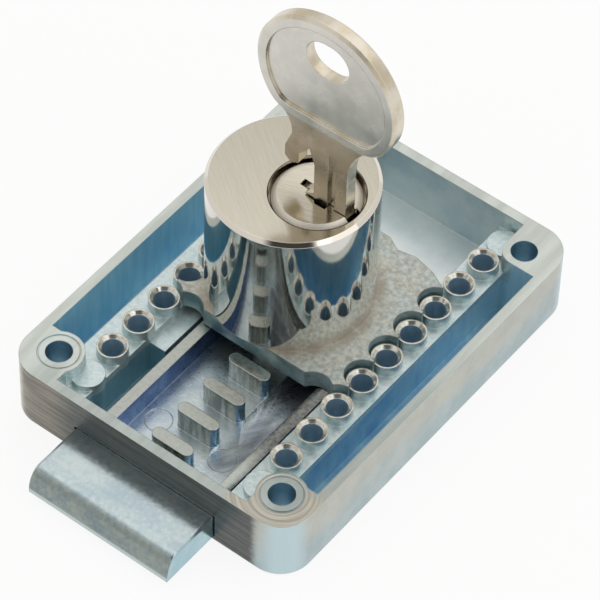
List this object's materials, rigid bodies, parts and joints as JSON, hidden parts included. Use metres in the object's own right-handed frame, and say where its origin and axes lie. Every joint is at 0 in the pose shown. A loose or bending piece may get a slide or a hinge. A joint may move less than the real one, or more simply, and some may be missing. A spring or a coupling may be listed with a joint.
{
  "type": "furniture lock",
  "caption": "Furniture rim lock: an open die-cast case with a sliding deadbolt, a carrier plate between rows of bosses, a key cylinder that turns in it and a flat key.",
  "frame": {"origin": "the centre of the case's flat back face, which the lock lies on", "axes": "+Z out of the open side, the way the key comes out; +Y away from the bolt's tongue, which leaves the case at -Y; +X to the side where the plug sits in the cylinder"},
  "size_m": [0.045, 0.069, 0.0606],
  "materials": {
    "passivated_zinc": "die-cast zinc, blue-passivated zinc plating, linished rim",
    "bolt_zinc": "die-cast zinc, blue-passivated zinc plating, grainy",
    "plate_zinc": "die-cast zinc, rough cast skin, clear passivated",
    "polished_nickel": "polished nickel plate, brushed end face",
    "plug_nickel": "nickel plate, brushed face",
    "cam_zinc": "die-cast zinc",
    "key_nickel": "nickel plate, satin",
    "screw_steel": "zinc-plated steel",
    "pin_brass": "turned brass",
    "spring_steel": "drawn spring steel",
    "cover_nickel": "polished nickel plate"
  },
  "bodies": {
    "case": {"case": "passivated_zinc", "carrier_plate": "plate_zinc", "cylinder_housing": "polished_nickel", "carrier_screws": "screw_steel", "chamber_cover": "cover_nickel", "driver_pin_1": "pin_brass", "driver_pin_2": "pin_brass", "driver_pin_3": "pin_brass", "driver_pin_4": "pin_brass", "driver_pin_5": "pin_brass", "pin_spring_1": "spring_steel", "pin_spring_2": "spring_steel", "pin_spring_3": "spring_steel", "pin_spring_4": "spring_steel", "pin_spring_5": "spring_steel"},
    "plug": {"cylinder_plug": "plug_nickel", "drive_cam": "cam_zinc", "cam_screw": "screw_steel", "key_pin_1": "pin_brass", "key_pin_2": "pin_brass", "key_pin_3": "pin_brass", "key_pin_4": "pin_brass", "key_pin_5": "pin_brass"},
    "bolt": {"bolt": "bolt_zinc"},
    "key": {"key": "key_nickel"}
  },
  "joints": [
    {"name": "plug_turn", "type": "hinge", "parent": "case", "child": "plug", "pos_m": [0.0015, 0.002, 0.0298], "axis": [0, 0, -1], "range_deg": [0, 180]},
    {"name": "bolt_slide", "type": "slide", "parent": "case", "child": "bolt", "axis": [0, 1, 0], "range_m": [0, 0.0085]},
    {"name": "key_slide", "type": "slide", "parent": "plug", "child": "key", "axis": [0, 0, 1], "range_m": [0, 0.018]}
  ],
  "couplings": [
    {"joint": "bolt_slide", "follows": "plug_turn", "m_per_rad": 0.0027056}
  ]
}
